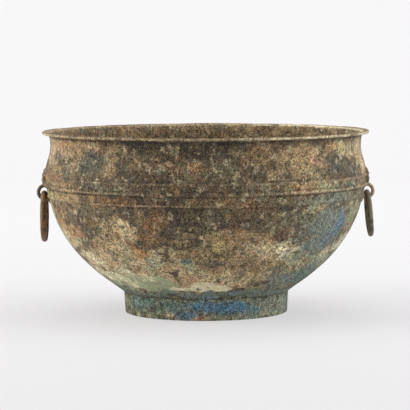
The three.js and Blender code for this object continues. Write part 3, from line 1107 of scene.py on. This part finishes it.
def ring_patina(name, tints):
    """Handled bronze: a dark brown rod with paler rubbed grains."""
    p = Patina(name)
    middle, deep, pale = tints
    mottle = p.noise(7, 4, 0.6, 21.0)
    flecks = p.noise(2.2, 4, 0.65, 22.0)
    grain = p.noise(1.0, 3, 0.65, 23.0)
    skin = p.mix(middle, deep, p.step(mottle, 0.44, 0.6))
    skin = p.mix(skin, pale, p.times(p.step(flecks, 0.55, 0.72), 0.6))
    skin = p.mix(skin, PIT_AND_SHADE, p.times(p.step(grain, 0.46, 0.34), 0.5))
    p.put(skin, p.shader.inputs["Base Color"])
    p.put(p.math("MULTIPLY_ADD", flecks, 0.3, 0.45), p.shader.inputs["Roughness"])
    p.shader.inputs["Specular IOR Level"].default_value = 0.4
    p.bump(p.math("MULTIPLY_ADD", grain, 0.5, flecks), 0.35)
    return p.material


# Pieces

def points_of(obj):
    """The mesh's points in millimetres, as three arrays."""
    flat = np.empty(len(obj.data.vertices) * 3)
    obj.data.vertices.foreach_get("co", flat)
    return flat.reshape(-1, 3).T / MM


def store(obj, name, values):
    """Keeps one value for each point, for the material to read."""
    layer = obj.data.attributes.new(name, "FLOAT", "POINT")
    layer.data.foreach_set("value", values.astype(np.float32))


def insideness(x, y, z):
    """1 on the bowl's inside and the mouth's top, 0 on its outside and under the floor."""
    profile = [p for p in outside_profile() if p[1] >= FOOT_HEIGHT]
    wall = np.interp(z, [h for _, h in profile], [r for r, _ in profile])
    depth = wall - np.hypot(x, y)
    above_floor = z > FOOT_HEIGHT + 0.6 * FLOOR_THICKNESS
    inside = np.where(above_floor, np.clip((depth - 0.3 * WALL) / (0.4 * WALL), 0, 1), 0.0)
    return np.where(z > OVERALL_HEIGHT - 0.6, 1.0, inside)


def smooth(value, low, high):
    """0 at low, 1 at high, smooth between."""
    share = np.clip((value - low) / (high - low), 0, 1)
    return share * share * (3 - 2 * share)


def drifted(x, y, z):
    """How far the patches' edges wander, across and up, at each point."""
    across = np.empty(len(x))
    up = np.empty(len(x))
    for i, p in enumerate(zip(x, y, z)):
        across[i] = 7.0 * wobble(*p, 24.0, 31.0) + 3.5 * wobble(*p, 8.0, 33.0)
        up[i] = 5.0 * wobble(*p, 24.0, 35.0) + 3.0 * wobble(*p, 8.0, 37.0)
    return across, up


def back_patches():
    """Patches scattered over the unseen side, always the same: paler low down, darker above."""
    draw = random.Random(BACK_SEED)
    # The broad tan row low down is pale patina and partly painted light, as on the front
    rows = [("tan", 180, 46, 200, 24, 0.7)]
    for tint, lowest, highest, count in BACK_PATCHES:
        for _ in range(count):
            azimuth = 180 + draw.uniform(-86, 86)
            height = draw.uniform(lowest, highest)
            size = draw.uniform(12, 34)
            tilt = draw.uniform(-25, 25)
            cover = draw.uniform(0.5, 0.95)
            rows.append((tint, azimuth, height, size, 0.4 * size, cover, tilt))
    return tuple(rows)


def patch_cover(degrees, z, across, up, fade, azimuth, height, half_width, half_height, cover, tilt=0):
    """How closely one patch covers each point; degrees holds azimuths and a degree's arc length."""
    angle, scale = degrees
    turn = math.radians(tilt)
    dx = ((angle - azimuth + 180) % 360 - 180) * scale + across
    dz = z - height + up
    along = (dx * math.cos(turn) + dz * math.sin(turn)) / half_width
    beside = (dz * math.cos(turn) - dx * math.sin(turn)) / half_height
    return cover * smooth(np.hypot(along, beside), *fade)


def paint(obj):
    """Stores where the inside, the foot and each colour of patina lie on the bowl."""
    x, y, z = points_of(obj)
    inside = insideness(x, y, z)
    store(obj, "inside", inside)
    store(obj, "foot", smooth(z, *FOOT_BLEND) * (1 - inside))
    degrees = np.degrees(np.arctan2(x, -y))
    across, up = drifted(x, y, z)
    masks = {tint: np.zeros(len(x)) for tint in TINTS}
    calm = np.zeros(len(x))
    for patches, scale, drift, fade, zone in (
        (FRONT_PATCHES + back_patches(), MM_PER_DEGREE, 1.0, SOFT, z > FOOT_PATCH_TOP),
        (FIRM_PATCHES, MM_PER_DEGREE, 0.3, FIRM, z > FOOT_PATCH_TOP),
        (FOOT_PATCHES, FOOT_MM_PER_DEGREE, 0.35, SOFT, z <= FOOT_PATCH_TOP),
    ):
        for tint, *row in patches:
            shape = patch_cover((degrees, scale), z, drift * across, drift * up, fade, *row)
            shape = shape * zone * (1 - inside)
            masks[tint] = np.maximum(masks[tint], shape)
            if fade is FIRM:
                calm = np.maximum(calm, shape)
    for tint, mask in masks.items():
        store(obj, "patch_" + tint, mask)
    store(obj, "calm", calm)


joints = {joint["name"]: joint for joint in frame["joints"]}
zeng_bowl = bowl()
paint(zeng_bowl)
ring_left = ring_handle("ring_left", "ring_handle_left", joints["left_ring_swing"], 4.0)
ring_right = ring_handle("ring_right", "ring_handle_right", joints["right_ring_swing"], 9.0)

bowl_nodes = ("steamer_bowl", "handle_loop_left", "handle_loop_right")
bowl_bronze = BowlPatina().material
left_bronze = ring_patina("left_ring_bronze", WARM_RING)
right_bronze = ring_patina("right_ring_bronze", OLIVE_RING)

# Each piece on its body, in place of its solids, with its material
for piece, body, nodes, slot, material in (
    (zeng_bowl, "bowl", bowl_nodes, "patinated_bronze", bowl_bronze),
    (ring_left, "left_ring", ("ring_handle_left",), "ring_bronze", left_bronze),
    (ring_right, "right_ring", ("ring_handle_right",), "ring_bronze", right_bronze),
):
    piece.data.shade_smooth()
    piece.data.set_sharp_from_angle(angle=math.radians(SHARP_ANGLE_DEG))
    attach(piece, body)
    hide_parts(*nodes)
    piece.data.materials.clear()
    piece.data.materials.append(material)


# Studio

# Floor in millimetres: its width, front edge, where it bends up, the bend's radius and the top
FLOOR_WIDTH = 60000.0
FLOOR_FRONT = -30000.0
FLOOR_BACK = 1500.0
FLOOR_BEND = 900.0
BACK_TOP = 4000.0

# Paper: its colour, its glow's colour and strength, and how much and over which run, from front
# to back, the glow rises
PAPER = (0.25, 0.246, 0.25, 1)
GLOW_TINT = (1, 0.99, 1, 1)
GLOW = 0.48
GLOW_RISE = 0.13
GLOW_RUN = (-900.0, 2200.0)

ROOM_LIGHT = 0.55

# Lights: name, place and aim in metres, width and height in metres, watts, colour
LIGHTS = (
    ("left", (-2.0, -0.3, 1.0), (0, 0, 0.08), (1.8, 1.8), 41, (1, 0.99, 0.97)),
    ("right", (2.0, -0.2, 1.0), (0, 0, 0.08), (1.8, 1.8), 37, (0.98, 0.99, 1)),
    ("top", (0, 0.5, 2.2), (0, 0, 0), (2.2, 1.8), 22, (1, 1, 1)),
    ("behind", (0, 1.0, 2.2), (0, 2.4, 0.8), (2.4, 1.0), 8, (1, 1, 1)),
)


def paper():
    """Pale paper with a painted glow that lightens its shadows, more towards the back, and no glow under the
    foot, which paints shade there.
    """
    p = Patina("paper")
    p.shader.inputs["Base Color"].default_value = PAPER
    p.shader.inputs["Emission Color"].default_value = GLOW_TINT
    glow = p.math("MULTIPLY_ADD", p.step(p.y, *GLOW_RUN), GLOW_RISE, GLOW)
    from_axis = p.vector("LENGTH", p.place)
    # The glow is painted light, left out under the foot: painted shade there, seen through the slots and at
    # the foot's edge
    beyond_foot = p.step(from_axis, FOOT_STANDING_RADIUS - 8, FOOT_STANDING_RADIUS)
    p.put(p.times(glow, beyond_foot), p.shader.inputs["Emission Strength"])
    p.shader.inputs["Roughness"].default_value = 0.9
    p.shader.inputs["Specular IOR Level"].default_value = 0.1
    return p.material


def backdrop():
    """A pale floor that curves up behind the vessel."""
    rows = [(FLOOR_FRONT, 0.0), (FLOOR_BACK, 0.0)]
    for step in range(1, 13):
        a = math.pi / 2 * step / 12
        rows.append((FLOOR_BACK + FLOOR_BEND * math.sin(a), FLOOR_BEND * (1 - math.cos(a))))
    rows.append((FLOOR_BACK + FLOOR_BEND, BACK_TOP))
    verts = [(x, y, z) for y, z in rows for x in (-FLOOR_WIDTH / 2, FLOOR_WIDTH / 2)]
    faces = [(2 * i, 2 * i + 1, 2 * i + 3, 2 * i + 2) for i in range(len(rows) - 1)]
    floor = mesh_object("floor", verts, faces)
    floor.data.shade_smooth()
    floor.data.materials.append(paper())


def area_light(name, place, target, size, power, tint):
    data = bpy.data.lights.new(name, "AREA")
    data.shape = "RECTANGLE"
    data.size, data.size_y = size
    data.energy = power
    data.color = tint
    light = linked(name, data)
    light.location = place
    light.rotation_euler = (Vector(target) - Vector(place)).to_track_quat("-Z", "Y").to_euler()


def studio():
    """The floor, an even white room and four soft lights."""
    backdrop()
    world = bpy.data.worlds.new("room")
    world.use_nodes = True
    background = world.node_tree.nodes["Background"]
    background.inputs["Color"].default_value = (1.0, 1.0, 1.0, 1)
    background.inputs["Strength"].default_value = ROOM_LIGHT
    bpy.context.scene.world = world
    for settings in LIGHTS:
        area_light(*settings)


# Camera, at the photograph's place in metres, with its pitch and roll
CAMERA_PLACE = (-0.0007, -1.9578, 0.2537)
CAMERA_PITCH_DEG = 4.647
CAMERA_ROLL_DEG = 0.287
FOCAL_PIXELS = 2204.3
FRAME_PIXELS = 410
SENSOR_MM = 36.0


def camera():
    data = bpy.data.cameras.new("camera")
    data.sensor_width = SENSOR_MM
    data.lens = SENSOR_MM * FOCAL_PIXELS / FRAME_PIXELS
    obj = linked("camera", data)
    tilt = Matrix.Rotation(math.radians(90 - CAMERA_PITCH_DEG), 4, "X")
    roll = Matrix.Rotation(math.radians(-CAMERA_ROLL_DEG), 4, "Z")
    obj.matrix_world = Matrix.Translation(CAMERA_PLACE) @ tilt @ roll
    bpy.context.scene.camera = obj


studio()
camera()
bpy.context.scene.view_settings.view_transform = "Standard"
